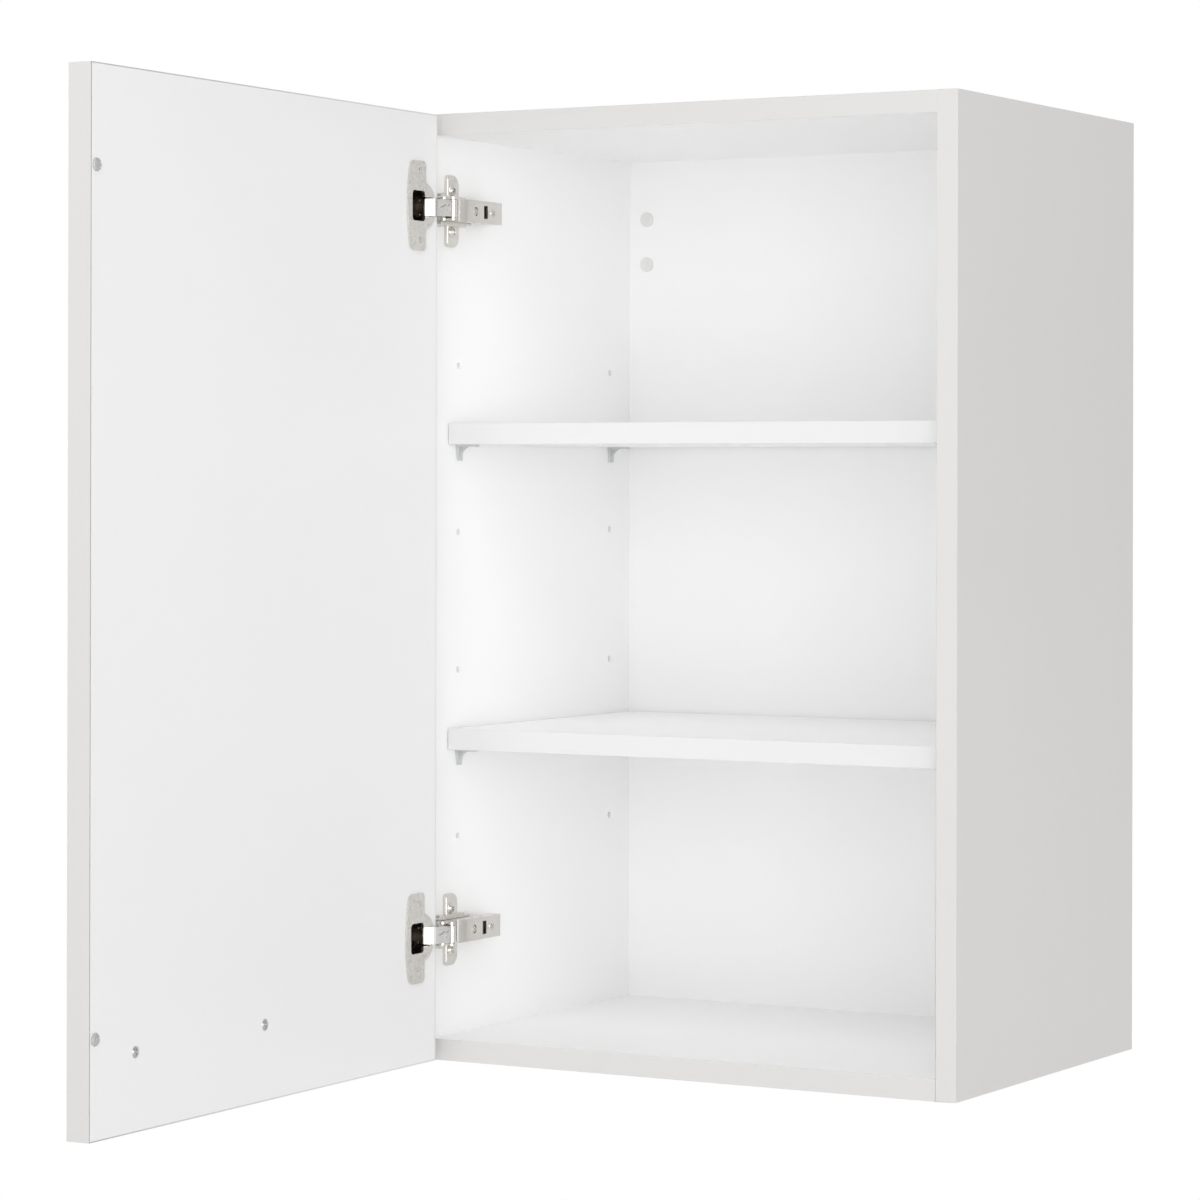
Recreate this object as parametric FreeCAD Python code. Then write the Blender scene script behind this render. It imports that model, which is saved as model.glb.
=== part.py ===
import FreeCAD, Part
import math
import os

# Hanging wall cabinet with one door, two adjustable shelves and two concealed cup hinges.
# Millimetres. Origin: middle of the rear lower edge of the carcass, on the wall plane.
# +Z is up, +X is to the right when facing the cabinet, and the front faces -Y.
# The door is modelled standing open; it is built shut and then turned about the hinge pole.

V = FreeCAD.Vector
UP = V(0, 0, 1)

# Carcass
width = 455.0
height = 720.0
depth = 325.0
board = 16.0
edge_band = 0.8
back_thickness = 3.0
back_inset = 15.0
groove_depth = 6.0

# Door
door_reveal = 2.0
door_gap = 2.0
door_thickness = 18.0
door_band = 1.0
open_angle = 88.5
open_corner_in = 13.0
open_corner_out = 14.5

# Shelves and their holes
shelf_setback = 22.0
shelf_side_gap = 1.0
pin_radius = 2.5
pin_hole_depth = 12.0
pin_front_setback = 38.0
pin_rear_clearance = 51.0
pin_pitch = 64.0
pin_lowest = 167.5
pin_group_gap = 106.0
support_plate = 1.8
support_drop = 1.6

# Hinges
hinge_heights = {"upper": 647.5, "lower": 97.0}
cup_edge_distance = 22.5
cup_radius = 17.5
cup_wall = 0.8
cup_depth = 14.2
flange_thickness = 1.6
plate_screw_setback = 24.0
plate_screw_pitch = 32.0
wing_thickness = 2.2
arrow_height = 0.9
cup_screw_pitch = 52.0
outer_arm_pivot = (20.0, -3.0)
inner_arm_pivot = (12.8, -4.8)
outer_pole_distance = 11.9
inner_pole_distance = 16.3
link_pin_radius = 1.1

# Door fittings
handle_centres = 160.0
handle_inset = 54.0
bumper_inset = 6.5
bumper_height_inset = 68.0

# Knock-down fittings
cam_radius = 7.5
cam_thickness = 12.5
cam_setback = 34.0
dowel_radius = 4.0
dowel_length = 30.0
fitting_setbacks = (60.0, 250.0)
dowel_setbacks = (28.0, 282.0)

# Hangers
hanger_height = 638.0
cap_pitch = 37.0
cap_inset = 16.0

# Derived planes
inner_x = width / 2 - board
front_y = -depth
back_front_y = -(back_inset + back_thickness)
door_inner_y = front_y - door_gap
door_outer_y = door_inner_y - door_thickness
door_left = -width / 2 + door_reveal
door_right = width / 2 - door_reveal
door_low = door_reveal
door_high = height - door_reveal
pin_front_y = front_y + pin_front_setback
pin_rear_y = -pin_rear_clearance
pin_heights = [pin_lowest + i * pin_pitch for i in range(3)]
pin_heights += [pin_heights[2] + pin_group_gap + i * pin_pitch for i in range(3)]
shelf_pins = {"upper": pin_heights[4], "lower": pin_heights[1]}
shelf_rise = pin_radius + support_drop - 0.8


def box(x, y, z):
    """Block between pairs of limits."""
    corner = V(min(x), min(y), min(z))
    return Part.makeBox(abs(x[1] - x[0]), abs(y[1] - y[0]), abs(z[1] - z[0]), corner)


def rod(radius, start, end):
    """Round bar between two points."""
    axis = end - start
    return Part.makeCylinder(radius, axis.Length, start, axis)


def prism(points, low, high):
    """Upright block whose plan is the closed outline through the points."""
    wire = Part.makePolygon([V(x, y, low) for x, y in points + points[:1]])
    return Part.Face(wire).extrude(V(0, 0, high - low))


def edges_along(shape, direction):
    """Straight edges parallel to a direction."""
    found = []
    for edge in shape.Edges:
        if not isinstance(edge.Curve, Part.Line):
            continue
        if abs(abs(edge.tangentAt(edge.FirstParameter) * direction) - 1) < 1e-6:
            found.append(edge)
    return found


def rounded_plate(x, y, z, radius, direction):
    """Block with its four edges along one direction rounded."""
    plate = box(x, y, z)
    return plate.makeFillet(radius, edges_along(plate, direction))


def fuse(shapes):
    """One solid from overlapping shapes."""
    return shapes[0].multiFuse(shapes[1:]).removeSplitter()


def cut(shape, tools):
    """Shape with the tools taken away."""
    return shape.cut(Part.makeCompound(tools))


def mirrored(shape):
    """Left-right mirror image."""
    return shape.mirror(V(0, 0, 0), V(1, 0, 0))


def save(name, shapes):
    """Write one node: a solid, or a group of separate solids."""
    shape = shapes if isinstance(shapes, Part.Shape) else Part.makeCompound(shapes)
    shape.exportStep("parts/" + name + ".step")


def screw(place, outward, head, shank, recess, turn=0.0):
    """Screw with a domed head and a cross recess turned by an angle.
    head and shank are (radius, length)."""
    head_radius, head_length = head
    dome_radius = (head_radius ** 2 + head_length ** 2) / (2 * head_length)
    dome = Part.makeSphere(dome_radius, V(0, 0, head_length - dome_radius))
    body = Part.makeCylinder(head_radius, head_length).common(dome)
    bar = Part.makeCylinder(shank[0], shank[1], V(0, 0, -shank[1]))
    tip = Part.makeCone(0.2, shank[0], shank[0], V(0, 0, -shank[1] - shank[0]))
    arm = recess * head_radius
    slot = 0.13 * head_radius
    floor = 0.3 * head_length
    slot_a = Part.makeBox(2 * arm, 2 * slot, head_length, V(-arm, -slot, floor))
    slot_b = Part.makeBox(2 * slot, 2 * arm, head_length, V(-slot, -arm, floor))
    pit = Part.makeCone(0.1, 0.3 * head_radius, 0.7 * head_length, V(0, 0, 0.35 * head_length))
    shape = cut(fuse([body, bar, tip]), [slot_a, slot_b, pit])
    aimed = FreeCAD.Rotation(UP, outward).multiply(FreeCAD.Rotation(UP, turn))
    shape.Placement = FreeCAD.Placement(place, aimed)
    return shape


def hinge_pole():
    """The point, in plan, about which the door turns: it carries the shut corner to the open corner."""
    turn = math.radians(-open_angle)
    c = math.cos(turn)
    s = math.sin(turn)
    shut = (door_left, door_inner_y)
    bx = -inner_x + open_corner_in - (c * shut[0] - s * shut[1])
    by = front_y - open_corner_out - (s * shut[0] + c * shut[1])
    det = (1 - c) ** 2 + s ** 2
    return ((1 - c) * bx - s * by) / det, (s * bx + (1 - c) * by) / det


def cup_pivot(arm_pivot, distance):
    """Cup end of a link, in u and v: its open and shut places are equally far from the arm pivot."""
    x, y = hinge_pole()
    pole_u = x + inner_x
    pole_v = y - front_y
    toward_arm = math.atan2(arm_pivot[1] - pole_v, arm_pivot[0] - pole_u)
    angle = toward_arm - math.radians(open_angle) / 2
    return pole_u + distance * math.cos(angle), pole_v + distance * math.sin(angle)


# ---- frame of one hinge: u into the cabinet from the inner side face, v back from the front edge

def hinge_point(u, v, z):
    return V(-inner_x + u, front_y + v, z)


def hinge_prism(points, low, high):
    """Upright block with its plan given in the hinge's own u and v."""
    return prism([(-inner_x + u, front_y + v) for u, v in points], low, high)


def hinge_rod(radius, place, low, high):
    return rod(radius, hinge_point(place[0], place[1], low), hinge_point(place[0], place[1], high))


# ---- carcass

def fitting_bores(z_outer, z_inner):
    """Bores for cams, bolts and dowels in a horizontal panel, opening on its outer face."""
    inward = 1 if z_inner > z_outer else -1
    z_mid = z_outer + inward * board / 2
    bores = []
    for side in (-1, 1):
        end = side * inner_x
        for setback in fitting_setbacks:
            y = front_y + setback
            centre = end - side * cam_setback
            cam_floor = z_outer + inward * cam_thickness
            bores.append(rod(cam_radius, V(centre, y, z_outer), V(centre, y, cam_floor)))
            bores.append(rod(4.0, V(centre, y, z_mid), V(end, y, z_mid)))
        for setback in dowel_setbacks:
            y = front_y + setback
            bores.append(rod(dowel_radius, V(end - side * 20.0, y, z_mid), V(end, y, z_mid)))
    return bores


def horizontal_panel(z_outer, z_inner):
    """Top or bottom panel between the sides, with a groove for the back."""
    panel = box((-inner_x, inner_x), (front_y + edge_band, 0), (z_outer, z_inner))
    inward = 1 if z_inner > z_outer else -1
    groove = box((-inner_x, inner_x), (back_front_y, -back_inset), (z_inner, z_inner - inward * groove_depth))
    return cut(panel, [groove] + fitting_bores(z_outer, z_inner))


def side_panel_right():
    """Full-height side with shelf pin holes, dowel and bolt holes and a groove for the back."""
    panel = box((inner_x, width / 2), (front_y + edge_band, 0), (0, height))
    tools = [box((inner_x, inner_x + groove_depth), (back_front_y, -back_inset),
                 (board - groove_depth, height - board + groove_depth))]
    for y in (pin_front_y, pin_rear_y):
        for z in pin_heights:
            tools.append(rod(pin_radius, V(inner_x, y, z), V(inner_x + pin_hole_depth, y, z)))
    for z in (board / 2, height - board / 2):
        for setback in fitting_setbacks:
            y = front_y + setback
            tools.append(rod(2.5, V(inner_x, y, z), V(inner_x + 11.0, y, z)))
        for setback in dowel_setbacks:
            y = front_y + setback
            tools.append(rod(dowel_radius, V(inner_x, y, z), V(inner_x + dowel_length - 20.0, y, z)))
    for z in (hanger_height - 16.0, hanger_height + 16.0):
        tools.append(rod(4.9, V(inner_x, -7.5, z), V(inner_x + 10.0, -7.5, z)))
    return cut(panel, tools)


def side_panel_left():
    """Mirror of the right side, with holes for the hinge plates as well."""
    tools = []
    for z in hinge_heights.values():
        for offset in (-plate_screw_pitch / 2, plate_screw_pitch / 2):
            y = front_y + plate_screw_setback
            tools.append(rod(3.0, V(-inner_x, y, z + offset), V(-inner_x - 14.5, y, z + offset)))
    return cut(mirrored(side_panel_right()), tools)


def back_panel():
    """Thin back held in grooves on all four sides, with the hanger access holes."""
    reach = groove_depth - 0.5
    half = inner_x + reach
    panel = box((-half, half), (back_front_y, -back_inset), (board - reach, height - board + reach))
    tools = [rod(5.0, V(x, back_front_y, z), V(x, -back_inset, z)) for x, z in cap_places()]
    return cut(panel, tools)


def carcass_edge_bands():
    """Front edges of the two sides, the top and the bottom."""
    y = (front_y, front_y + edge_band)
    bands = []
    for side in (-1, 1):
        bands.append(box((side * inner_x, side * width / 2), y, (0, height)))
    for z in ((0, board), (height - board, height)):
        bands.append(box((-inner_x, inner_x), y, z))
    return bands


# ---- shelves

def shelf(pin_z):
    low = pin_z + shelf_rise
    reach = inner_x - shelf_side_gap
    return box((-reach, reach), (front_y + shelf_setback + edge_band, back_front_y - 2.0), (low, low + board))


def shelf_band(pin_z):
    low = pin_z + shelf_rise
    reach = inner_x - shelf_side_gap
    y = front_y + shelf_setback
    return box((-reach, reach), (y, y + edge_band), (low, low + board))


def shelf_support(side, y, pin_z):
    """Moulded bracket: a pin in the side, a leg down the side, and a plate under the shelf
    with a curved web."""
    top = pin_z + shelf_rise
    wall = inner_x
    pin = rod(pin_radius, V(wall, y, pin_z), V(wall + 9.0, y, pin_z))
    leg = Part.makePolygon([V(wall, y - 4.2, top), V(wall, y + 4.2, top), V(wall, y + 2.4, top - 12.5),
                            V(wall, y - 2.4, top - 12.5), V(wall, y - 4.2, top)])
    leg = Part.Face(leg).extrude(V(-2.2, 0, 0))
    plate = rounded_plate((wall - 17.0, wall), (y - 4.2, y + 4.2), (top - support_plate, top), 1.6, UP)
    web_points = [V(wall - 2.0, y, top - 11.5), V(wall - 2.0, y, top - 1.0), V(wall - 12.5, y, top - 1.0)]
    web_curve = Part.Arc(web_points[2], V(wall - 5.2, y, top - 4.4), web_points[0]).toShape()
    outline = Part.Wire([Part.makeLine(web_points[0], web_points[1]),
                         Part.makeLine(web_points[1], web_points[2]),
                         web_curve])
    web = Part.Face(outline).extrude(V(0, 2.0, 0))
    web.translate(V(0, -1.0, 0))
    bracket = fuse([pin, leg, plate, web])
    return bracket if side > 0 else mirrored(bracket)


def shelf_supports(pin_z):
    return [shelf_support(side, y, pin_z) for side in (-1, 1) for y in (pin_front_y, pin_rear_y)]


# ---- knock-down fittings

def each_fitting(setbacks):
    """Side, depth position and panel faces of every corner fitting."""
    for z_outer, inward in ((height, -1), (0.0, 1)):
        for side in (-1, 1):
            for setback in setbacks:
                yield side, front_y + setback, z_outer, inward


def cam_housings():
    """Round cams let into the outer faces of the top and bottom panels, each with a cross slot."""
    cams = []
    for side, y, z, inward in each_fitting(fitting_setbacks):
        x = side * (inner_x - cam_setback)
        cam = rod(cam_radius - 0.05, V(x, y, z + inward * 0.3), V(x, y, z + inward * (cam_thickness - 0.1)))
        slots = [box((x - 4.5, x + 4.5), (y - 0.8, y + 0.8), (z, z + inward * 2.4)),
                 box((x - 0.8, x + 0.8), (y - 4.5, y + 4.5), (z, z + inward * 2.4))]
        z_mid = z + inward * board / 2
        pocket = rod(4.2, V(x, y, z_mid), V(x + side * cam_radius, y, z_mid))
        cams.append(cut(cam, slots + [pocket]))
    return cams


def cam_bolts():
    """Bolts screwed into the sides, with a head held inside each cam."""
    bolts = []
    for side, y, z, inward in each_fitting(fitting_setbacks):
        z_mid = z + inward * board / 2
        end = side * inner_x
        head_x = end - side * (cam_setback - 0.4)
        thread = rod(2.45, V(end, y, z_mid), V(end + side * 10.8, y, z_mid))
        stem = rod(3.2, V(head_x + side * 6.0, y, z_mid), V(end, y, z_mid))
        neck = rod(1.7, V(head_x + side * 2.0, y, z_mid), V(head_x + side * 6.5, y, z_mid))
        head = rod(3.2, V(head_x, y, z_mid), V(head_x + side * 2.5, y, z_mid))
        bolts.append(fuse([thread, stem, neck, head]))
    return bolts


def dowels():
    """Fluted wooden dowels, shown round, across each corner joint."""
    pegs = []
    for side, y, z, inward in each_fitting(dowel_setbacks):
        z_mid = z + inward * board / 2
        end = side * inner_x
        pegs.append(rod(dowel_radius - 0.05, V(end - side * 19.6, y, z_mid), V(end + side * 9.6, y, z_mid)))
    return pegs


# ---- hangers behind the back panel

def cap_places():
    """Places of the hanger access holes on the back panel."""
    return [(side * (inner_x - cap_inset), hanger_height + offset)
            for side in (-1, 1) for offset in (-cap_pitch / 2, cap_pitch / 2)]


def hanger_body():
    """Right-hand steel box held in the side panel by two ribbed pegs."""
    x = (inner_x - 27.0, inner_x - 0.4)
    shell = box(x, (-13.6, -1.0), (hanger_height - 32.0, hanger_height + 32.0))
    hollow = box((x[0] - 1.0, x[1] - 2.0), (-12.0, -2.6), (hanger_height - 30.0, hanger_height + 30.0))
    mouth = box((x[0] + 4.4, x[1] - 7.0), (-2.6, -1.0), (hanger_height - 24.0, hanger_height + 30.0))
    holes = [rod(3.4, V(x, -13.6, z), V(x, -12.0, z)) for x, z in cap_places()[2:]]
    peg_start = inner_x - 0.6
    peg_end = inner_x + 9.0
    pegs = [rod(4.8, V(peg_start, -7.5, hanger_height + offset), V(peg_end, -7.5, hanger_height + offset))
            for offset in (-16.0, 16.0)]
    return fuse([cut(shell, [hollow, mouth] + holes)] + pegs)


def hanger_hook():
    """Right-hand steel hook that reaches over the wall rail."""
    centre = inner_x - cap_inset
    stem = box((centre - 6.0, centre + 6.0), (-9.4, -7.4), (hanger_height - 26.0, hanger_height + 28.0))
    top = box((centre - 6.0, centre + 6.0), (-9.4, -1.4), (hanger_height + 10.0, hanger_height + 12.0))
    lip = box((centre - 6.0, centre + 6.0), (-3.2, -1.4), (hanger_height + 1.0, hanger_height + 12.0))
    threads = [rod(3.0, V(centre, -9.4, hanger_height + offset), V(centre, -7.4, hanger_height + offset))
               for offset in (-cap_pitch / 2, cap_pitch / 2)]
    return cut(fuse([stem, top, lip]), threads)


def hanger_screws():
    """Height and depth screws, reached through the back panel."""
    screws = []
    for x, z in cap_places():
        shank = rod(2.95, V(x, -13.4, z), V(x, -5.0, z))
        hex_socket = prism([(x + 1.6 * math.cos(math.radians(a)), 1.6 * math.sin(math.radians(a)))
                            for a in range(0, 360, 60)], 0, 3.0)
        hex_socket.Placement = FreeCAD.Placement(V(0, -13.4, z), FreeCAD.Rotation(V(1, 0, 0), -90))
        screws.append(shank.cut(hex_socket))
    return screws


def hanger_caps():
    """Round plastic caps over the access holes."""
    caps = []
    for x, z in cap_places():
        face = rod(6.0, V(x, back_front_y - 1.2, z), V(x, back_front_y, z))
        rim = [e for e in face.Edges if e.BoundBox.YMax < back_front_y - 1.0]
        face = face.makeFillet(0.7, rim)
        plug = rod(4.8, V(x, back_front_y, z), V(x, -back_inset, z))
        bore = rod(3.8, V(x, back_front_y + 0.8, z), V(x, -back_inset, z))
        caps.append(fuse([face, plug]).cut(bore))
    return caps


# ---- hinge parts that stay with the carcass

def plate_wing(z, side):
    """One wing: rounded at its outer end, more at the back, with a rolled bead along the front."""
    low = z + side * 8.0
    far = z + side * 27.5
    outline = box((-inner_x, -inner_x + wing_thickness), (front_y + 16.5, front_y + 34.0), (low, far))
    for radius, near, reach in ((3.2, 16.0, 20.0), (8.0, 30.0, 35.0)):
        corner = [e for e in edges_along(outline, V(1, 0, 0))
                  if abs(e.Vertexes[0].Z - far) < 0.1 and near < e.Vertexes[0].Y - front_y < reach]
        outline = outline.makeFillet(radius, corner)
    end = z + side * 24.5
    bead = hinge_rod(1.1, (wing_thickness - 0.3, 18.1), min(low, end), max(low, end))
    cap = Part.makeSphere(1.1, hinge_point(wing_thickness - 0.3, 18.1, end))
    return fuse([outline, bead, cap])


def hinge_plate(z):
    """Pressed cross plate: two wings with the screws, and a stepped rail that carries the arm."""
    wings = [plate_wing(z, side) for side in (-1, 1)]
    base = hinge_prism([(0, 4.0), (0, 43.5), (2.4, 43.5), (4.0, 41.5), (4.0, 6.0), (2.8, 4.0)],
                       z - 11.5, z + 11.5)
    step = hinge_prism([(0, 5.0), (0, 48.5), (4.4, 48.5), (6.4, 46.0), (6.4, 8.0), (5.0, 5.0)],
                       z - 9.8, z + 9.8)
    rail = hinge_prism([(0, 9.0), (0, 61.0), (11.0, 66.0), (14.6, 62.0), (14.6, 26.0), (11.0, 20.0),
                        (6.0, 9.0)], z - 6.2, z + 6.2)
    nubs = [rounded_plate((-inner_x, -inner_x + 6.2), (front_y + 1.6, front_y + 7.6),
                          (centre - 2.3, centre + 2.3), 2.2, V(1, 0, 0)) for centre in (z - 10.6, z + 10.6)]
    bores = [rod(3.0, V(-inner_x, front_y + plate_screw_setback, z + offset),
                 V(-inner_x + wing_thickness, front_y + plate_screw_setback, z + offset))
             for offset in (-plate_screw_pitch / 2, plate_screw_pitch / 2)]
    seats = [hinge_rod_across(2.6, 34.0, z, 9.0, 16.0), hinge_rod_across(2.1, 58.5, z, 9.0, 16.0)]
    pocket = hinge_prism([(8.0, 44.6), (8.0, 52.4), (16.0, 52.4), (16.0, 44.6)], z - 5.4, z + 5.4)
    return cut(fuse(wings + [base, step, rail] + nubs), bores + seats + [pocket])


def hinge_rod_across(radius, v, z, u_low, u_high):
    """Round bar standing on the side panel, along X."""
    return rod(radius, hinge_point(u_low, v, z), hinge_point(u_high, v, z))


def hinge_plate_screws():
    """Pan-head screws with cross recesses that hold both plates."""
    screws = []
    for z in hinge_heights.values():
        for offset in (-plate_screw_pitch / 2, plate_screw_pitch / 2):
            place = V(-inner_x + wing_thickness, front_y + plate_screw_setback, z + offset)
            screws.append(screw(place, V(1, 0, 0), (4.3, 2.7), (2.95, 12.0), 0.55, 20.0 + offset))
    return screws


def arm_cheek(low, high):
    """Side wall of the arm, with two ears at the nose for the link pivots."""
    body = hinge_prism([(7.4, 70.5), (18.0, 72.0), (18.0, 22.0), (13.6, 15.5), (14.6, 8.0), (20.0, 2.0),
                        outer_arm_pivot, inner_arm_pivot, (9.2, -2.0), (8.0, 6.0), (7.4, 22.0)], low, high)
    ears = [hinge_rod(2.9, outer_arm_pivot, low, high), hinge_rod(2.9, inner_arm_pivot, low, high)]
    return fuse([body] + ears)


def hinge_arm(z):
    """Pressed channel that straddles the rail of the plate and holds both links at its nose."""
    cheeks = [arm_cheek(z + side * 7.8 - 0.7, z + side * 7.8 + 0.7) for side in (-1, 1)]
    web = hinge_prism([(18.0, 72.0), (18.0, 22.0), (13.6, 15.5), (14.4, 9.5), (13.0, 9.0), (12.2, 15.9),
                       (16.7, 22.6), (16.7, 72.0)], z - 7.8, z + 7.8)
    foot = hinge_prism([(18.0, 72.0), (16.7, 70.8), (9.4, 69.8), (9.4, 71.0)], z - 7.8, z + 7.8)
    slot = box((-inner_x + 16.0, -inner_x + 19.0), (front_y + 45.6, front_y + 51.4), (z - 5.0, z + 5.0))
    side_hole = hinge_rod_across(3.3, 34.0, z, 16.0, 19.0)
    rear_hole = hinge_rod_across(2.8, 58.5, z, 16.0, 19.0)
    pins = [hinge_rod(link_pin_radius, place, z - 9.0, z + 9.0)
            for place in (outer_arm_pivot, inner_arm_pivot)]
    notches = [hinge_prism([(14.4, v), (14.4, v + length), (15.6, v + length), (15.6, v)], z - 9.0, z + 9.0)
               for v, length in ((32.5, 4.0), (45.5, 6.5))]
    arm = fuse(cheeks + [web, foot])
    return cut(arm, [slot, side_hole, rear_hole] + pins + notches)


def hinge_arm_pins():
    """Riveted pivots of the links in the arms."""
    pins = []
    for z in hinge_heights.values():
        for place in (outer_arm_pivot, inner_arm_pivot):
            heads = [hinge_rod(1.8, place, z + side * 8.5, z + side * 9.0) for side in (-1, 1)]
            pins.append(fuse([hinge_rod(link_pin_radius, place, z - 8.7, z + 8.7)] + heads))
    return pins


def hinge_adjusting_screws():
    """Side-adjusting and fixing screws of both arms."""
    screws = []
    for z in hinge_heights.values():
        screws.append(screw(hinge_point(16.9, 34.0, z), V(1, 0, 0), (3.1, 1.4), (2.4, 4.6), 0.85, 45.0))
        screws.append(screw(hinge_point(18.0, 58.5, z), V(1, 0, 0), (3.7, 1.3), (1.9, 5.0), 0.7, 40.0))
    return screws


def hinge_springs():
    """Closing springs: a bent steel strip inside each arm, pressing on the heel of the inner link."""
    strips = []
    for z in hinge_heights.values():
        strips.append(hinge_prism([(9.6, 2.0), (10.2, 1.7), (11.7, 7.6), (11.1, 8.3), (9.9, 8.0)],
                                  z - 5.0, z + 5.0))
    return strips


# ---- links

def embossed_arrow(z):
    """Raised arrow on the long link's plate: a long point towards the door and a flared tail."""
    along = V(-3.9, -7.9, 0).normalize()
    out = V(7.9, -3.9, 0).normalize()
    middle = hinge_point(20.8, -10.0, z) + along * 2.4
    outline = [(7.0, 0.0), (0.7, 3.3), (-1.3, 1.3), (-4.1, 3.7),
               (-4.1, -3.7), (-1.3, -1.3), (0.7, -3.3)]
    rings = []
    for height, shrink in ((-0.2, 1.0), (arrow_height, 0.55)):
        points = []
        for a, w in outline:
            points.append(middle + along * (a * shrink) + V(0, 0, w * shrink) + out * height)
        rings.append(Part.makePolygon(points + points[:1]))
    return Part.makeLoft(rings, True, True)


def outer_link(z):
    """Long link: a barrel on the arm, an embossed plate, and a channel bent over the rim
    and down into the cup."""
    end = cup_pivot(outer_arm_pivot, outer_pole_distance)
    plate = hinge_prism([(21.6, -5.0), (20.8, -10.0), (16.9, -17.9), (15.5, -20.9), (14.2, -22.5),
                         (12.2, -23.8), (9.0, -25.3), (7.4, -25.7), (7.4, -24.9), (9.0, -24.5),
                         (11.8, -23.0), (13.4, -21.9), (14.6, -20.4), (15.6, -17.6), (18.8, -8.6),
                         (19.4, -3.0)], z - 6.4, z + 6.4)
    legs = []
    for side in (-1, 1):
        low = z + side * 5.6 - 0.8
        legs.append(hinge_prism([(15.6, -20.6), (14.2, -22.5), (12.2, -23.8), (9.0, -25.3),
                                 (end[0], end[1] - 1.8), (end[0], end[1] + 1.8), (9.0, -21.9), (12.7, -21.8),
                                 (13.4, -21.4), (13.5, -19.4), (15.9, -15.4)], low, low + 1.6))
        legs.append(hinge_rod(1.8, end, low, low + 1.6))
    barrel = hinge_rod(3.1, outer_arm_pivot, z - 6.4, z + 6.4)
    bore = hinge_rod(link_pin_radius + 0.06, outer_arm_pivot, z - 7.0, z + 7.0)
    return cut(fuse([plate, barrel, embossed_arrow(z)] + legs), [bore])


def inner_link(z):
    """Short link nested inside the long one: it passes over the rim of the cup and dips into it."""
    end = cup_pivot(inner_arm_pivot, inner_pole_distance)
    strip = hinge_prism([(14.4, -3.2), (15.6, -8.0), (15.3, -13.0), (14.4, -17.0), (14.3, -20.0),
                         (13.2, -21.3),
                         (11.5, -22.2), (end[0], end[1] - 1.0), (end[0], end[1] + 1.2), (11.4, -20.9),
                         (13.3, -20.2), (13.3, -16.0), (13.9, -12.0), (13.0, -7.5), (11.2, -6.2)],
                        z - 2.9, z + 2.9)
    eyes = [hinge_rod(2.4, inner_arm_pivot, z - 2.9, z + 2.9), hinge_rod(1.0, end, z - 2.9, z + 2.9)]
    bore = hinge_rod(link_pin_radius + 0.06, inner_arm_pivot, z - 3.0, z + 3.0)
    return cut(fuse([strip] + eyes), [bore])


# ---- door, built shut

def door_panel():
    """Door board inside its edge bands, with the two cup bores and the fixing holes."""
    panel = box((door_left + door_band, door_right - door_band), (door_outer_y, door_inner_y),
                (door_low + door_band, door_high - door_band))
    tools = []
    for z in hinge_heights.values():
        x = door_left + cup_edge_distance
        tools.append(rod(cup_radius + 0.05, V(x, door_inner_y, z), V(x, door_inner_y - cup_depth - 0.1, z)))
        for offset in (-cup_screw_pitch / 2, cup_screw_pitch / 2):
            tools.append(rod(1.6, V(cup_screw_x(), door_inner_y, z + offset),
                             V(cup_screw_x(), door_inner_y - 12.0, z + offset)))
    for x, z in handle_places():
        tools.append(rod(2.4, V(x, door_inner_y, z), V(x, door_outer_y, z)))
        tools.append(rod(4.2, V(x, door_inner_y, z), V(x, door_inner_y - 0.8, z)))
    return cut(panel, tools)


def door_edge_bands():
    """Bands glued round the four edges of the door."""
    y = (door_outer_y, door_inner_y)
    return [box((door_left, door_left + door_band), y, (door_low, door_high)),
            box((door_right - door_band, door_right), y, (door_low, door_high)),
            box((door_left + door_band, door_right - door_band), y, (door_low, door_low + door_band)),
            box((door_left + door_band, door_right - door_band), y, (door_high - door_band, door_high))]


def cup_screw_x():
    return door_left + 27.0


def cup_flange(z):
    """Thin flange: a tall strip bowed away from the door edge, with rounded ends,
    and a round bulge over the cup."""
    near_edge = door_left + 19.0
    far_edge = door_left + 40.6
    bow = 4.6
    half = 33.8
    y = door_inner_y
    top = V(far_edge, y, z + half)
    low = V(far_edge, y, z - half)
    curve = Part.Arc(low, V(far_edge + bow, y, z), top).toShape()
    straight = Part.makePolygon([top, V(near_edge, y, z + half), V(near_edge, y, z - half), low])
    strip = Part.Face(Part.Wire([curve] + straight.Edges)).extrude(V(0, flange_thickness, 0))
    corners = edges_along(strip, V(0, 1, 0))
    far_corners = [e for e in corners if e.Vertexes[0].X > far_edge - 1.0]
    strip = strip.makeFillet(6.5, far_corners)
    near_corners = [e for e in edges_along(strip, V(0, 1, 0))
                    if e.Vertexes[0].X < near_edge + 0.1 and abs(abs(e.Vertexes[0].Z - z) - half) < 0.1]
    strip = strip.makeFillet(4.0, near_corners)
    centre = V(door_left + cup_edge_distance, y, z)
    return fuse([strip, rod(cup_radius + 0.6, centre, centre + V(0, flange_thickness, 0))])


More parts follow.
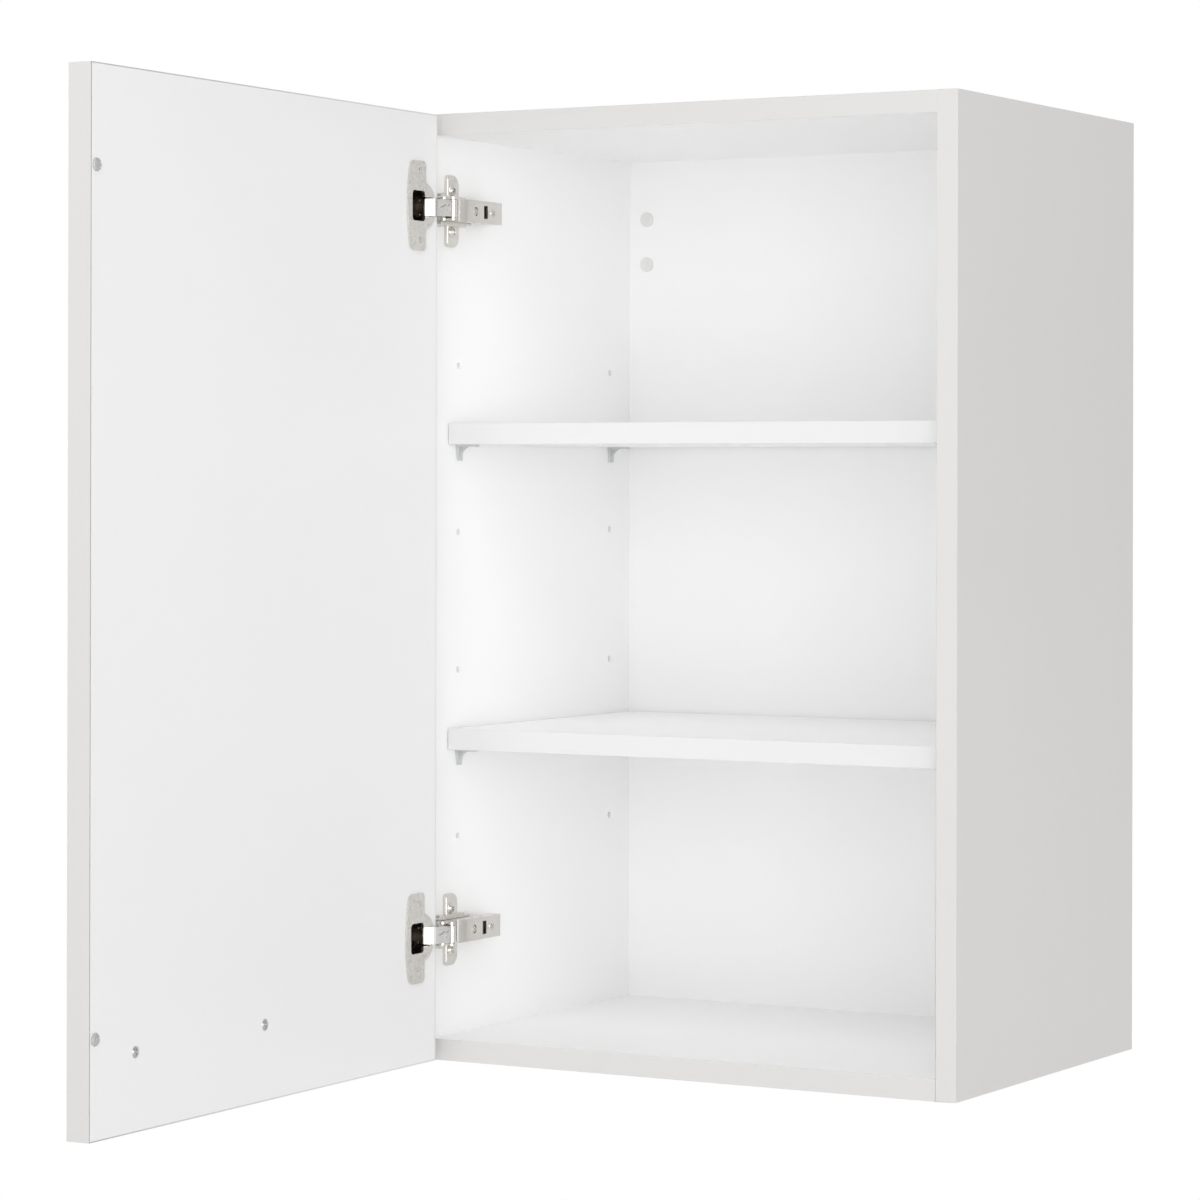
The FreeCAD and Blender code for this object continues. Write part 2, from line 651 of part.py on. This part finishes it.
def hinge_cup(z):
    """Deep-drawn cup with its flange, and the mouth that lets the arm and the links in."""
    centre = V(door_left + cup_edge_distance, door_inner_y, z)
    inward = V(0, -1, 0)
    can = rod(cup_radius, centre, centre + inward * cup_depth)
    floor_edge = [e for e in can.Edges if e.BoundBox.YMax < door_inner_y - cup_depth + 0.1]
    can = can.makeFillet(1.2, floor_edge)
    cavity = rod(cup_radius - cup_wall, centre, centre + inward * (cup_depth - cup_wall))
    through = (door_inner_y - 1.0, door_inner_y + 2.0)
    mouth = box((door_left + 20.5, door_left + 38.8), through, (z - 11.4, z + 11.4))
    mouth = mouth.makeFillet(3.0, edges_along(mouth, V(0, 1, 0)))
    throat = box((door_left + 3.0, door_left + 24.0), through, (z - 7.2, z + 7.2))
    x = cup_screw_x()
    holes = [rod(2.0, V(x, door_inner_y, z + offset), V(x, door_inner_y + 2.0, z + offset))
             for offset in (-cup_screw_pitch / 2, cup_screw_pitch / 2)]
    lid = rod(cup_radius - 0.1, centre, centre + inward * 0.7)
    shell = fuse([can.cut(cavity), lid, cup_flange(z)])
    return cut(shell, [mouth, throat] + holes)


def hinge_cup_screws():
    """Countersunk screws that hold both cups."""
    screws = []
    for z in hinge_heights.values():
        for offset in (-cup_screw_pitch / 2, cup_screw_pitch / 2):
            place = V(cup_screw_x(), door_inner_y + flange_thickness, z + offset)
            screws.append(screw(place, V(0, 1, 0), (3.2, 0.9), (1.5, 11.0), 0.6))
    return screws


def handle_places():
    """Handle fixings, a fixed distance in from the free edge and up from the lower edge."""
    x = door_right - handle_inset
    return [(x - handle_centres, door_low + handle_inset), (x, door_low + handle_inset)]


def door_handle():
    """Slim bow handle: two feet and a straight grip with rounded shoulders."""
    (x0, z), (x1, _) = handle_places()
    y = door_outer_y
    grip = y - 30.0
    bend = 9.0
    shoulder = grip + bend
    corner = bend * (1 - math.sqrt(0.5))
    path = Part.Wire([
        Part.makeLine(V(x0, y, z), V(x0, shoulder, z)),
        Part.Arc(V(x0, shoulder, z), V(x0 + corner, grip + corner, z), V(x0 + bend, grip, z)).toShape(),
        Part.makeLine(V(x0 + bend, grip, z), V(x1 - bend, grip, z)),
        Part.Arc(V(x1 - bend, grip, z), V(x1 - corner, grip + corner, z), V(x1, shoulder, z)).toShape(),
        Part.makeLine(V(x1, shoulder, z), V(x1, y, z))])
    section = Part.Wire([Part.makeCircle(5.0, V(x0, y, z), V(0, -1, 0))])
    bar = path.makePipeShell([section], True, True)
    threads = [rod(2.0, V(x, y, z), V(x, y - 11.0, z)) for x in (x0, x1)]
    return cut(bar, threads)


def handle_screws():
    """Machine screws through the door into the handle's feet."""
    screws = []
    for x, z in handle_places():
        place = V(x, door_inner_y - 0.8, z)
        screws.append(screw(place, V(0, 1, 0), (4.1, 1.9), (1.95, 25.0), 0.62))
    return screws


def door_bumpers():
    """Clear buffers where the door meets the carcass."""
    domes = []
    for z in (door_low + bumper_height_inset, door_high - bumper_height_inset):
        centre = V(door_right - bumper_inset, door_inner_y, z)
        pad = rod(4.5, centre, centre + V(0, 1.5, 0))
        rim = [e for e in pad.Edges if e.BoundBox.YMin > door_inner_y + 1.0]
        domes.append(pad.makeFillet(1.1, rim))
    return domes


# ---- how the door stands open

def opened(shapes):
    """Door pieces turned about the pole to the open position."""
    shapes = shapes if isinstance(shapes, list) else [shapes]
    x, y = hinge_pole()
    turned = []
    for shape in shapes:
        copy = shape.copy()
        copy.rotate(V(x, y, 0), UP, -open_angle)
        turned.append(copy)
    return turned if len(turned) > 1 else turned[0]


def carcass_nodes():
    nodes = {"side_panel_left": side_panel_left(),
             "side_panel_right": side_panel_right(),
             "top_panel": horizontal_panel(height, height - board),
             "bottom_panel": horizontal_panel(0.0, board),
             "back_panel": back_panel(),
             "carcass_edge_bands": carcass_edge_bands(),
             "cam_housings": cam_housings(),
             "cam_bolts": cam_bolts(),
             "dowels": dowels(),
             "hanger_body_right": hanger_body(),
             "hanger_body_left": mirrored(hanger_body()),
             "hanger_hook_right": hanger_hook(),
             "hanger_hook_left": mirrored(hanger_hook()),
             "hanger_screws": hanger_screws(),
             "hanger_caps": hanger_caps(),
             "shelf_edge_bands": [shelf_band(z) for z in shelf_pins.values()],
             "hinge_plate_screws": hinge_plate_screws(),
             "hinge_arm_pins": hinge_arm_pins(),
             "hinge_adjusting_screws": hinge_adjusting_screws(),
             "hinge_springs": hinge_springs()}
    for name, pin_z in shelf_pins.items():
        nodes["shelf_" + name] = shelf(pin_z)
        nodes["shelf_supports_" + name] = shelf_supports(pin_z)
    for name, z in hinge_heights.items():
        nodes["hinge_plate_" + name] = hinge_plate(z)
        nodes["hinge_arm_" + name] = hinge_arm(z)
    return nodes


def link_nodes():
    nodes = {}
    for name, z in hinge_heights.items():
        nodes["outer_link_" + name] = outer_link(z)
        nodes["inner_link_" + name] = inner_link(z)
    return nodes


def door_nodes():
    nodes = {"door_panel": opened(door_panel()),
             "door_edge_bands": opened(door_edge_bands()),
             "hinge_cup_screws": opened(hinge_cup_screws()),
             "door_handle": opened(door_handle()),
             "handle_screws": opened(handle_screws()),
             "door_bumpers": opened(door_bumpers())}
    for name, z in hinge_heights.items():
        nodes["hinge_cup_" + name] = opened(hinge_cup(z))
    return nodes


def main():
    os.makedirs("parts", exist_ok=True)
    for nodes in (carcass_nodes(), link_nodes(), door_nodes()):
        for name, shapes in nodes.items():
            save(name, shapes)


main()
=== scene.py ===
import math

import bpy
from mathutils import Euler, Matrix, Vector


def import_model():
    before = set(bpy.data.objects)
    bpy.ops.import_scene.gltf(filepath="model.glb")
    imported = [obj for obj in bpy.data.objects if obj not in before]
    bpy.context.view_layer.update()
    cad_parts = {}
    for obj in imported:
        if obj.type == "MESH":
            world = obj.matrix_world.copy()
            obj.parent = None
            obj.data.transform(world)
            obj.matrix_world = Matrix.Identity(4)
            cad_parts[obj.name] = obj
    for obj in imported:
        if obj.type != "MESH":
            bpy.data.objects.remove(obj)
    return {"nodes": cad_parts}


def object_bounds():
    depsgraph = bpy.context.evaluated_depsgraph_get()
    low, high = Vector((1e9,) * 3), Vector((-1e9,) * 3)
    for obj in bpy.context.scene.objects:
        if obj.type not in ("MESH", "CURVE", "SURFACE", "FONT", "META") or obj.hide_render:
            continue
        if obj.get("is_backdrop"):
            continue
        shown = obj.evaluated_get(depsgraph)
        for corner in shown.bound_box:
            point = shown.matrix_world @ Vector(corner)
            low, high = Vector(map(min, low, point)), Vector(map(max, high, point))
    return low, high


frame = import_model()
cad_low, cad_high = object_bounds()
nodes = frame["nodes"]


# ---- sizes and levels of the stage, in metres and watts

FLOOR_DROP = 0.55
FLOOR_RADIUS = 14.0
FLOOR_FADE = (0.7, 2.4)
AMBIENT = 0.44
AIM = (0, -0.2, 0.36)
EYE = (1.4600, -2.9933, 0.4405)
EYE_TURN = 0.519
EYE_ROLL = 0.002
LENS = 123.84
LENS_SHIFT = -0.0987


# ---- materials

def socket(shader, name, value):
    shader.inputs[name].default_value = value


class Material:
    """A node material built up step by step on the object's own coordinates."""

    def __init__(self, name):
        self.material = bpy.data.materials.new(name)
        self.material.use_nodes = True
        self.tree = self.material.node_tree
        self.shader = self.tree.nodes["Principled BSDF"]
        coordinates = self.tree.nodes.new("ShaderNodeTexCoord")
        self.place = coordinates.outputs["Object"]
        self.facing = coordinates.outputs["Normal"]
        self.normal = None

    def add(self, kind, **values):
        node = self.tree.nodes.new(kind)
        for key, value in values.items():
            if key in node.inputs:
                node.inputs[key].default_value = value
            else:
                setattr(node, key, value)
        return node

    def link(self, start, end):
        self.tree.links.new(start, end)

    def noise(self, scale, detail=2.0, stretch=(1, 1, 1), roughness=0.5):
        mapping = self.add("ShaderNodeMapping")
        mapping.inputs["Scale"].default_value = stretch
        self.link(self.place, mapping.inputs["Vector"])
        noise = self.add("ShaderNodeTexNoise", Scale=scale, Detail=detail, Roughness=roughness)
        self.link(mapping.outputs["Vector"], noise.inputs["Vector"])
        return noise.outputs["Fac"]

    def ramp(self, factor, stops):
        ramp = self.add("ShaderNodeValToRGB")
        elements = ramp.color_ramp.elements
        while len(elements) < len(stops):
            elements.new(0.5)
        for element, (position, colour) in zip(elements, stops):
            element.position = position
            element.color = (*colour, 1.0)
        self.link(factor, ramp.inputs["Fac"])
        return ramp.outputs["Color"]

    def mix(self, factor, a, b):
        mix = self.add("ShaderNodeMix", data_type="RGBA")
        self.link(factor, mix.inputs["Factor"])
        self.link(a, mix.inputs["A"])
        self.link(b, mix.inputs["B"])
        return mix.outputs["Result"]

    def span(self, factor, low, high, new_low=0.0, new_high=1.0):
        span = self.add("ShaderNodeMapRange")
        for index, value in enumerate((low, high, new_low, new_high)):
            span.inputs[index + 1].default_value = value
        self.link(factor, span.inputs["Value"])
        return span.outputs["Result"]

    def axis(self, name):
        split = self.add("ShaderNodeSeparateXYZ")
        self.link(self.place, split.inputs["Vector"])
        return split.outputs[name]

    def bump(self, height, strength, distance):
        bump = self.add("ShaderNodeBump", Strength=strength, Distance=distance)
        self.link(height, bump.inputs["Height"])
        if self.normal is not None:
            self.link(self.normal, bump.inputs["Normal"])
        self.normal = bump.outputs["Normal"]
        self.link(self.normal, self.shader.inputs["Normal"])

    def colour(self, output):
        self.link(output, self.shader.inputs["Base Color"])

    def roughness(self, output):
        self.link(output, self.shader.inputs["Roughness"])


def chipboard_colour(m):
    """Cut edge of raw chipboard: chips of several browns."""
    chips = m.add("ShaderNodeTexVoronoi", Scale=520.0, Randomness=1.0)
    m.link(m.place, chips.inputs["Vector"])
    return m.ramp(chips.outputs["Color"], [(0.0, (0.30, 0.19, 0.09)), (0.45, (0.47, 0.33, 0.18)),
                                           (0.8, (0.60, 0.46, 0.28)), (1.0, (0.70, 0.57, 0.38))])


def melamine(name, tint, raw_back=False, outer_painted_shade=None, door_front_painted_shade=None):
    """White melamine: a fine pressed texture, and bare chipboard on the hidden rear edges.
    outside is the colour of faces further out than the board's inner face, to the left or right: painted
    shade, a dimmer white on the same board.
    door_front_painted_shade is the colour of the face that looks to the left, as the front of the open
    door does: painted shade, the same dimmer white."""
    m = Material(name)
    low = tuple(0.99 * c for c in tint)
    face = m.ramp(m.noise(7.0, 3.0), [(0.3, low), (0.7, tint)])
    # painted shade: faces of the side panels further out than their inner faces get a dimmer, warmer
    # white than the same board inside
    if outer_painted_shade:
        painted_shade_face = m.ramp(m.noise(7.0, 3.0), [(0.3, tuple(0.99 * c for c in outer_painted_shade)), (0.7, outer_painted_shade)])
        reach = m.add("ShaderNodeMath", operation="ABSOLUTE")
        m.link(m.axis("X"), reach.inputs[0])
        out = m.span(reach.outputs["Value"], cad_high.x - 0.0009, cad_high.x - 0.0007)
        face = m.mix(out, face, painted_shade_face)
    # painted shade: faces turned to the left, the front of the open door, get the same dimmer white as
    # the outer faces
    if door_front_painted_shade:
        painted_shade_face = m.ramp(m.noise(7.0, 3.0), [(0.3, tuple(0.99 * c for c in door_front_painted_shade)), (0.7, door_front_painted_shade)])
        split = m.add("ShaderNodeSeparateXYZ")
        m.link(m.facing, split.inputs["Vector"])
        face = m.mix(m.span(split.outputs["X"], -0.5, -0.7), face, painted_shade_face)
    if raw_back:
        raw = m.span(m.axis("Y"), -0.0004, -0.0002)
        face = m.mix(raw, face, chipboard_colour(m))
    m.colour(face)
    m.roughness(m.span(m.noise(160.0, 3.0), 0.3, 0.7, 0.34, 0.42))
    m.bump(m.noise(1500.0, 2.0), 0.05, 0.0004)
    m.bump(m.noise(60.0, 2.0), 0.03, 0.0008)
    socket(m.shader, "Specular IOR Level", 0.42)
    return m.material


def hardboard(name):
    """Thin back: lacquered white at the front, bare brown fibre at the rear."""
    m = Material(name)
    white = m.ramp(m.noise(9.0, 3.0), [(0.3, (0.93, 0.93, 0.93)), (0.7, (0.94, 0.94, 0.94))])
    fibre = m.ramp(m.noise(900.0, 5.0, (1, 1, 2.5)),
                   [(0.3, (0.25, 0.16, 0.09)), (0.7, (0.40, 0.28, 0.17))])
    rear = m.span(m.axis("Y"), -0.0152, -0.0150)
    m.colour(m.mix(rear, white, fibre))
    m.roughness(m.span(rear, 0.0, 1.0, 0.4, 0.8))
    m.bump(m.noise(1300.0, 3.0), 0.06, 0.0004)
    return m.material


def metal(name, tint, rough, grain=(1, 1, 1), grain_scale=500.0, grain_strength=0.04, painted_shade_depth=None):
    """Plated or brushed metal: slightly uneven gloss, faint cloudiness and fine marks.
    painted_shade_depth is the X below which the metal is painted near black, as painted shade in the
    hollow of the hinge cup."""
    m = Material(name)
    dull = tuple(0.96 * c for c in tint)
    tone = m.ramp(m.noise(120.0, 4.0), [(0.35, dull), (0.65, tint)])
    # painted shade: the hollow of the hinge cup, below painted_shade_depth in X, is painted near black
    if painted_shade_depth is not None:
        cup_hollow_painted_shade = m.ramp(m.noise(300.0, 4.0), [(0.3, (0.10, 0.09, 0.075)), (0.7, (0.17, 0.15, 0.125))])
        tone = m.mix(m.span(m.axis("X"), painted_shade_depth, painted_shade_depth + 0.0006), cup_hollow_painted_shade, tone)
    m.colour(tone)
    m.roughness(m.span(m.noise(220.0, 4.0, grain), 0.3, 0.7, rough * 0.9, rough * 1.15))
    m.bump(m.noise(grain_scale, 3.0, grain), grain_strength, 0.0003)
    socket(m.shader, "Metallic", 1.0)
    return m.material


def plastic(name, tint, rough, clear=0.0, soft=0.0):
    """Moulded plastic with a fine satin texture."""
    m = Material(name)
    low = tuple(0.95 * c for c in tint)
    m.colour(m.ramp(m.noise(90.0, 3.0), [(0.35, low), (0.65, tint)]))
    m.roughness(m.span(m.noise(400.0, 3.0), 0.3, 0.7, rough * 0.85, rough * 1.15))
    m.bump(m.noise(1200.0, 2.0), 0.06, 0.0003)
    socket(m.shader, "Transmission Weight", clear)
    socket(m.shader, "Subsurface Weight", soft)
    socket(m.shader, "Subsurface Scale", 0.004)
    return m.material


def beech(name):
    """Plain light wood with its grain along the dowels."""
    m = Material(name)
    m.colour(m.ramp(m.noise(180.0, 4.0, (0.12, 1, 1)),
                    [(0.3, (0.50, 0.33, 0.18)), (0.7, (0.70, 0.52, 0.33))]))
    m.roughness(m.span(m.noise(300.0, 3.0), 0.3, 0.7, 0.5, 0.7))
    m.bump(m.noise(600.0, 3.0, (0.1, 1, 1)), 0.15, 0.0004)
    return m.material


INNER_WHITE = (0.95, 0.95, 0.95)
# OUTER_WHITE is painted shade where melamine puts it on the side panels' outer faces and the door's
# front; BAND uses it as the edge bands' colour
OUTER_WHITE = (0.70, 0.687, 0.674)
MELAMINE = melamine("melamine_white", INNER_WHITE, raw_back=True, outer_painted_shade=OUTER_WHITE)
DOOR_WHITE = melamine("door_white", (0.86, 0.86, 0.86), door_front_painted_shade=OUTER_WHITE)
SHELF_BAND = melamine("shelf_band_white", (0.79, 0.79, 0.79))
BAND = melamine("edge_band_white", OUTER_WHITE)
HARDBOARD = hardboard("hardboard_back")
NICKEL = metal("nickel_plate", (0.74, 0.72, 0.68), 0.24)
# the hollow of the hinge cup is painted shade, near black below X = -0.2 m
NICKEL_CUP = metal("nickel_cup", (0.74, 0.72, 0.68), 0.26, painted_shade_depth=-0.2000)
NICKEL_BRIGHT = metal("nickel_bright", (0.84, 0.83, 0.80), 0.13)
ZINC_STEEL = metal("zinc_plated_steel", (0.66, 0.66, 0.65), 0.30)
CAST_ZINC = metal("cast_zinc", (0.55, 0.56, 0.57), 0.45, grain_strength=0.10)
BRUSHED = metal("brushed_steel", (0.66, 0.66, 0.65), 0.28, (1, 1, 14), 420.0, 0.10)
SUPPORT = plastic("support_grey", (0.62, 0.63, 0.64), 0.35, soft=0.05)
CAP_WHITE = plastic("cap_white", (0.80, 0.80, 0.79), 0.45)
BUMPER = plastic("bumper_clear", (0.80, 0.81, 0.81), 0.25, clear=0.55)
BEECH = beech("beech")

FINISHES = {
    "side_panel_left": MELAMINE, "side_panel_right": MELAMINE, "top_panel": MELAMINE,
    "bottom_panel": MELAMINE, "shelf_upper": MELAMINE, "shelf_lower": MELAMINE,
    "back_panel": HARDBOARD, "carcass_edge_bands": BAND, "shelf_edge_bands": SHELF_BAND,
    "shelf_supports_upper": SUPPORT, "shelf_supports_lower": SUPPORT, "cam_housings": CAST_ZINC,
    "cam_bolts": ZINC_STEEL, "dowels": BEECH, "hanger_body_left": ZINC_STEEL,
    "hanger_body_right": ZINC_STEEL, "hanger_hook_left": ZINC_STEEL,
    "hanger_hook_right": ZINC_STEEL, "hanger_screws": ZINC_STEEL, "hanger_caps": CAP_WHITE,
    "hinge_plate_upper": NICKEL, "hinge_plate_lower": NICKEL, "hinge_plate_screws": NICKEL,
    "hinge_arm_upper": NICKEL, "hinge_arm_lower": NICKEL, "hinge_adjusting_screws": NICKEL,
    "hinge_arm_pins": NICKEL_BRIGHT, "hinge_springs": ZINC_STEEL,
    "outer_link_upper": NICKEL_BRIGHT, "outer_link_lower": NICKEL_BRIGHT,
    "inner_link_upper": ZINC_STEEL, "inner_link_lower": ZINC_STEEL, "door_panel": DOOR_WHITE,
    "door_edge_bands": BAND, "hinge_cup_upper": NICKEL_CUP, "hinge_cup_lower": NICKEL_CUP,
    "hinge_cup_screws": NICKEL, "door_handle": BRUSHED, "handle_screws": ZINC_STEEL,
    "door_bumpers": BUMPER,
}

# width of the softened edges, in millimetres
SOFTENED = {
    "side_panel_left": 0.3, "side_panel_right": 0.3, "top_panel": 0.2, "bottom_panel": 0.2,
    "shelf_upper": 0.3, "shelf_lower": 0.3, "carcass_edge_bands": 0.25, "shelf_edge_bands": 0.4,
    "door_edge_bands": 0.5, "shelf_supports_upper": 0.3, "shelf_supports_lower": 0.3,
    "hinge_plate_upper": 0.35, "hinge_plate_lower": 0.35, "hinge_arm_upper": 0.3,
    "hinge_arm_lower": 0.3, "outer_link_upper": 0.25, "outer_link_lower": 0.25,
    "inner_link_upper": 0.25, "inner_link_lower": 0.25, "hinge_cup_upper": 0.3,
    "hinge_cup_lower": 0.3, "hinge_plate_screws": 0.15, "hinge_adjusting_screws": 0.12,
    "hinge_cup_screws": 0.1, "handle_screws": 0.12, "hanger_body_left": 0.3,
    "hanger_body_right": 0.3,
}


def finish_node(name, finish):
    """Give a CAD node its material and, where listed, softened edges with flat faces between them."""
    node = nodes[name]
    node.data.materials.clear()
    node.data.materials.append(finish)
    if name in SOFTENED:
        weld = node.modifiers.new("weld", "WELD")
        weld.merge_threshold = 2e-6
        flat = node.modifiers.new("flat", "DECIMATE")
        flat.decimate_type = "DISSOLVE"
        flat.angle_limit = math.radians(0.5)
        bevel = node.modifiers.new("soft_edges", "BEVEL")
        bevel.width = SOFTENED[name] / 1000
        bevel.segments = 2
        bevel.limit_method = "ANGLE"
        bevel.angle_limit = math.radians(35)
        shading = node.modifiers.new("flat_faces", "WEIGHTED_NORMAL")
        shading.weight = 100
        shading.keep_sharp = False
        node.data.polygons.foreach_set("use_smooth", [True] * len(node.data.polygons))


for node_name, node_finish in FINISHES.items():
    finish_node(node_name, node_finish)


# ---- stage

def floor():
    """Pale floor that fades to plain white away from the cabinet."""
    low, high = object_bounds()
    bpy.ops.mesh.primitive_circle_add(vertices=96, radius=FLOOR_RADIUS, fill_type="NGON",
                                      location=(0, 0, low.z - FLOOR_DROP))
    plane = bpy.context.object
    plane.name = "floor"
    m = Material("floor_pale")
    gradient = m.add("ShaderNodeVectorMath", operation="LENGTH")
    m.link(m.place, gradient.inputs[0])
    far = m.span(gradient.outputs["Value"], *FLOOR_FADE)
    socket(m.shader, "Base Color", (0.9, 0.9, 0.9, 1))
    socket(m.shader, "Roughness", 0.9)
    glow = m.add("ShaderNodeEmission", Strength=1.0)
    glow.inputs["Color"].default_value = (1, 1, 1, 1)
    both = m.add("ShaderNodeMixShader")
    m.link(far, both.inputs["Fac"])
    m.link(m.shader.outputs["BSDF"], both.inputs[1])
    m.link(glow.outputs["Emission"], both.inputs[2])
    m.link(both.outputs["Shader"], m.tree.nodes["Material Output"].inputs["Surface"])
    plane.data.materials.append(m.material)
    plane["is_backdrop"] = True


def world():
    """Even white surroundings, seen as plain white behind the cabinet."""
    made = bpy.data.worlds.new("studio")
    made.use_nodes = True
    tree = made.node_tree
    bpy.context.scene.world = made
    out = tree.nodes["World Output"]
    lighting = tree.nodes["Background"]
    lighting.inputs["Color"].default_value = (1, 1, 1, 1)
    lighting.inputs["Strength"].default_value = AMBIENT
    seen = tree.nodes.new("ShaderNodeBackground")
    seen.inputs["Color"].default_value = (1, 1, 1, 1)
    seen.inputs["Strength"].default_value = 1.0
    path = tree.nodes.new("ShaderNodeLightPath")
    mix = tree.nodes.new("ShaderNodeMixShader")
    tree.links.new(path.outputs["Is Camera Ray"], mix.inputs["Fac"])
    tree.links.new(lighting.outputs["Background"], mix.inputs[1])
    tree.links.new(seen.outputs["Background"], mix.inputs[2])
    tree.links.new(mix.outputs["Shader"], out.inputs["Surface"])


def softbox(name, place, target, size, power):
    """Rectangular lamp at a place, turned to its target."""
    light = bpy.data.lights.new(name, "AREA")
    light.shape = "RECTANGLE"
    light.size, light.size_y = size
    light.energy = power
    lamp = bpy.data.objects.new(name, light)
    bpy.context.scene.collection.objects.link(lamp)
    lamp.location = place
    lamp.rotation_euler = (Vector(target) - Vector(place)).to_track_quat("-Z", "Y").to_euler()


def camera():
    """Level camera about three metres away, to the right of the front and a little above the middle."""
    made = bpy.data.cameras.new("camera")
    made.sensor_width = 36.0
    made.lens = LENS
    made.shift_y = LENS_SHIFT
    made.clip_end = 60.0
    eye = bpy.data.objects.new("camera", made)
    bpy.context.scene.collection.objects.link(eye)
    eye.location = EYE
    turn = Euler((math.radians(90), 0, EYE_TURN), "XYZ").to_matrix()
    roll = Euler((0, 0, EYE_ROLL), "XYZ").to_matrix()
    eye.rotation_euler = (turn @ roll).to_euler()
    bpy.context.scene.camera = eye


floor()
world()
softbox("front", (1.8, -3.8, 0.6), AIM, (2.6, 2.2), 44)
softbox("side", (4.0, -2.0, 0.6), (0, -0.3, 0.36), (2.0, 2.0), 30)
softbox("above", (0.8, -2.6, 2.8), (0, -0.2, 0.3), (2.4, 1.6), 30)
softbox("below", (0.5, -2.4, -1.6), (0, -0.2, 0.4), (2.4, 1.2), 12)
camera()
bpy.context.scene.view_settings.view_transform = "Standard"
bpy.context.scene.cycles.diffuse_bounces = 12
bpy.context.scene.cycles.max_bounces = 16
